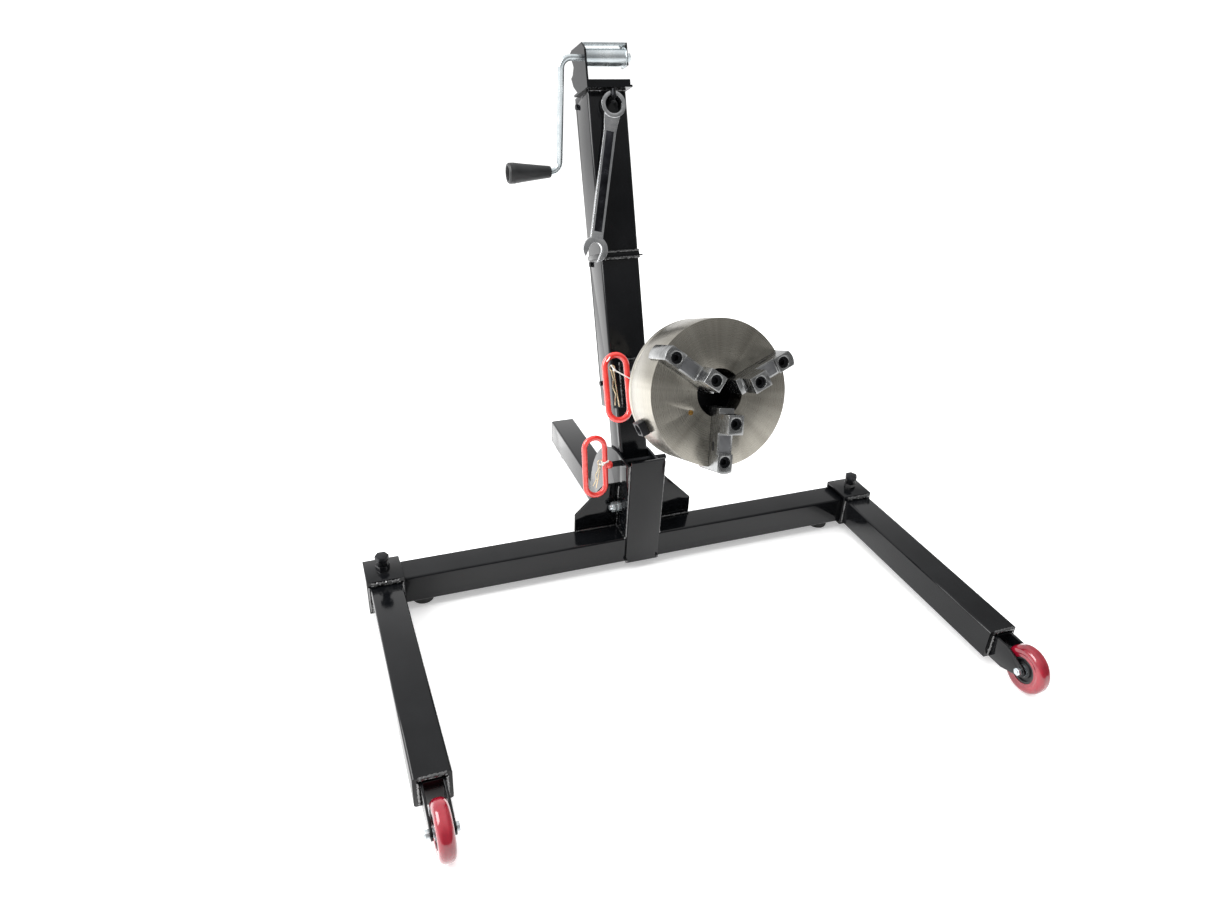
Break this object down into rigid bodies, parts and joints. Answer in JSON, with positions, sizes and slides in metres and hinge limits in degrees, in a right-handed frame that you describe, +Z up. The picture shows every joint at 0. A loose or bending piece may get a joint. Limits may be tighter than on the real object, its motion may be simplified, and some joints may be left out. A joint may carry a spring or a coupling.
{
  "type": "engine stand",
  "caption": "Tilting lift stand with a scroll chuck head, for holding an engine or gearbox while it is worked on.",
  "frame": {"origin": "centre of the footprint, on the floor", "axes": "+X to the right along the crossbeam, +Y to the rear leg and away from the wheels, +Z up"},
  "size_m": [1.126, 1.138, 0.9855],
  "materials": {
    "black_gloss_paint": "gloss",
    "red_paint": "gloss",
    "black_steel": "black oxide, satin",
    "zinc_steel": "bright zinc plate",
    "ground_steel": "ground, radial grain on the face",
    "jaw_steel": "ground",
    "chrome_vanadium": "polished",
    "bronze": "machined",
    "nylon": "matt",
    "black_plastic": "matt moulded",
    "yellow_zinc_wire": "yellow zinc",
    "red_polyurethane": "gloss cast",
    "black_rubber": "matt moulded"
  },
  "bodies": {
    "base": {"crossbeam": "black_gloss_paint", "rear_leg": "black_gloss_paint", "front_plate": "black_gloss_paint", "left_sector_plate": "black_gloss_paint", "right_sector_plate": "black_gloss_paint", "gussets": "black_gloss_paint", "rubber_feet": "black_rubber", "pivot_bolt": "zinc_steel"},
    "left_leg_unit": {"left_leg": "black_gloss_paint", "left_leg_sleeve": "black_gloss_paint", "left_fork": "black_gloss_paint", "left_axle": "zinc_steel"},
    "left_wheel": {"left_tyre": "red_polyurethane", "left_hub": "black_plastic", "left_wheel_bearings": "zinc_steel"},
    "left_clamp": {"left_clamp_bolt": "black_steel"},
    "right_leg_unit": {"right_leg": "black_gloss_paint", "right_leg_sleeve": "black_gloss_paint", "right_fork": "black_gloss_paint", "right_axle": "zinc_steel"},
    "right_wheel": {"right_tyre": "red_polyurethane", "right_hub": "black_plastic", "right_wheel_bearings": "zinc_steel"},
    "right_clamp": {"right_clamp_bolt": "black_steel"},
    "post": {"inner_post": "black_gloss_paint"},
    "mast": {"lower_mast": "black_gloss_paint", "upper_mast": "black_gloss_paint", "collar": "black_gloss_paint", "slide_liners": "nylon", "liner_screws": "black_steel", "head_arm": "black_gloss_paint", "spindle_bushes": "bronze", "winch_frame": "black_gloss_paint", "wrench_hook": "black_steel"},
    "crank": {"winch_drum": "zinc_steel", "crank_rod": "zinc_steel"},
    "grip": {"crank_grip": "black_plastic"},
    "lock_pin_unit": {"lock_pin": "black_steel", "lock_pin_ring": "red_paint", "lock_pin_clip": "yellow_zinc_wire"},
    "index_pin_unit": {"index_pin": "black_steel", "index_pin_ring": "red_paint", "index_pin_clip": "yellow_zinc_wire"},
    "chuck": {"chuck_body": "ground_steel", "chuck_backplate": "ground_steel", "backplate_screws": "black_steel", "spindle": "ground_steel", "lube_plug": "bronze"},
    "scroll": {"scroll_plate": "ground_steel"},
    "jaw_a": {"jaw_1": "jaw_steel", "jaw_screws_1": "black_steel"},
    "jaw_b": {"jaw_2": "jaw_steel", "jaw_screws_2": "black_steel"},
    "jaw_c": {"jaw_3": "jaw_steel", "jaw_screws_3": "black_steel"},
    "pinion_a": {"pinion_1": "black_steel"},
    "pinion_b": {"pinion_2": "black_steel"},
    "pinion_c": {"pinion_3": "black_steel"},
    "wrench_unit": {"wrench": "chrome_vanadium"}
  },
  "joints": [
    {"name": "left_leg_slide", "type": "slide", "parent": "base", "child": "left_leg_unit", "axis": [-1, 0, 0], "range_m": [0, 0.06]},
    {"name": "right_leg_slide", "type": "slide", "parent": "base", "child": "right_leg_unit", "axis": [1, 0, 0], "range_m": [0, 0.06]},
    {"name": "left_clamp_lift", "type": "slide", "parent": "left_leg_unit", "child": "left_clamp", "axis": [0, 0, 1], "range_m": [0, 0.006]},
    {"name": "right_clamp_lift", "type": "slide", "parent": "right_leg_unit", "child": "right_clamp", "axis": [0, 0, 1], "range_m": [0, 0.006]},
    {"name": "left_wheel_axle", "type": "hinge", "parent": "left_leg_unit", "child": "left_wheel", "pos_m": [-0.528, -0.524, 0.045], "axis": [1, 0, 0], "continuous": true},
    {"name": "right_wheel_axle", "type": "hinge", "parent": "right_leg_unit", "child": "right_wheel", "pos_m": [0.528, -0.524, 0.045], "axis": [1, 0, 0], "continuous": true},
    {"name": "mast_tilt", "type": "hinge", "parent": "base", "child": "post", "pos_m": [0, 0.0645, 0.133], "axis": [-1, 0, 0], "range_deg": [0, 68]},
    {"name": "mast_lift", "type": "slide", "parent": "post", "child": "mast", "axis": [0, 0.3584, 0.9336], "range_m": [-0.08, 0.35]},
    {"name": "crank_turn", "type": "hinge", "parent": "mast", "child": "crank", "pos_m": [0, 0.36105, 0.95856], "axis": [-1, 0, 0], "range_deg": [-290, 1260]},
    {"name": "grip_turn", "type": "hinge", "parent": "crank", "child": "grip", "pos_m": [-0.1475, 0.36105, 0.75056], "axis": [1, 0, 0], "continuous": true},
    {"name": "lock_pin_slide", "type": "slide", "parent": "base", "child": "lock_pin_unit", "axis": [-1, 0, 0], "range_m": [0, 0.11]},
    {"name": "index_pin_slide", "type": "slide", "parent": "mast", "child": "index_pin_unit", "axis": [-1, 0, 0], "range_m": [0, 0.06]},
    {"name": "chuck_turn", "type": "hinge", "parent": "mast", "child": "chuck", "pos_m": [0, -0.14258, 0.49206], "axis": [0, -0.9336, 0.3584], "continuous": true},
    {"name": "scroll_turn", "type": "hinge", "parent": "chuck", "child": "scroll", "pos_m": [0, -0.19486, 0.51213], "axis": [0, -0.9336, 0.3584], "range_deg": [-432, 1080]},
    {"name": "jaw_a_slide", "type": "slide", "parent": "chuck", "child": "jaw_a", "axis": [0.9272, 0.1342, 0.3497], "range_m": [-0.0125, 0.0305]},
    {"name": "jaw_b_slide", "type": "slide", "parent": "chuck", "child": "jaw_b", "axis": [-0.788, 0.2206, 0.5748], "range_m": [-0.0125, 0.0305]},
    {"name": "jaw_c_slide", "type": "slide", "parent": "chuck", "child": "jaw_c", "axis": [-0.1392, -0.3549, -0.9245], "range_m": [-0.0125, 0.0305]},
    {"name": "pinion_a_turn", "type": "hinge", "parent": "chuck", "child": "pinion_a", "pos_m": [0.01531, -0.14089, 0.60809], "axis": [0.1392, 0.3549, 0.9245], "range_deg": [-1300, 3245]},
    {"name": "pinion_b_turn", "type": "hinge", "parent": "chuck", "child": "pinion_b", "pos_m": [-0.10199, -0.19469, 0.46792], "axis": [-0.9272, -0.1342, -0.3497], "range_deg": [-1300, 3245]},
    {"name": "pinion_c_turn", "type": "hinge", "parent": "chuck", "child": "pinion_c", "pos_m": [0.08668, -0.20419, 0.44317], "axis": [0.788, -0.2206, -0.5748], "range_deg": [-1300, 3245]},
    {"name": "wrench_swing", "type": "hinge", "parent": "mast", "child": "wrench_unit", "pos_m": [0.006, 0.32286, 0.89256], "axis": [0, -0.9336, 0.3584], "range_deg": [-10, 25]}
  ],
  "couplings": [
    {"joint": "crank_turn", "follows": "mast_lift", "rad_per_m": 62.5},
    {"joint": "jaw_a_slide", "follows": "scroll_turn", "m_per_rad": 0.0015915},
    {"joint": "jaw_b_slide", "follows": "scroll_turn", "m_per_rad": 0.0015915},
    {"joint": "jaw_c_slide", "follows": "scroll_turn", "m_per_rad": 0.0015915},
    {"joint": "pinion_a_turn", "follows": "scroll_turn", "ratio": 3},
    {"joint": "pinion_b_turn", "follows": "scroll_turn", "ratio": 3},
    {"joint": "pinion_c_turn", "follows": "scroll_turn", "ratio": 3}
  ]
}
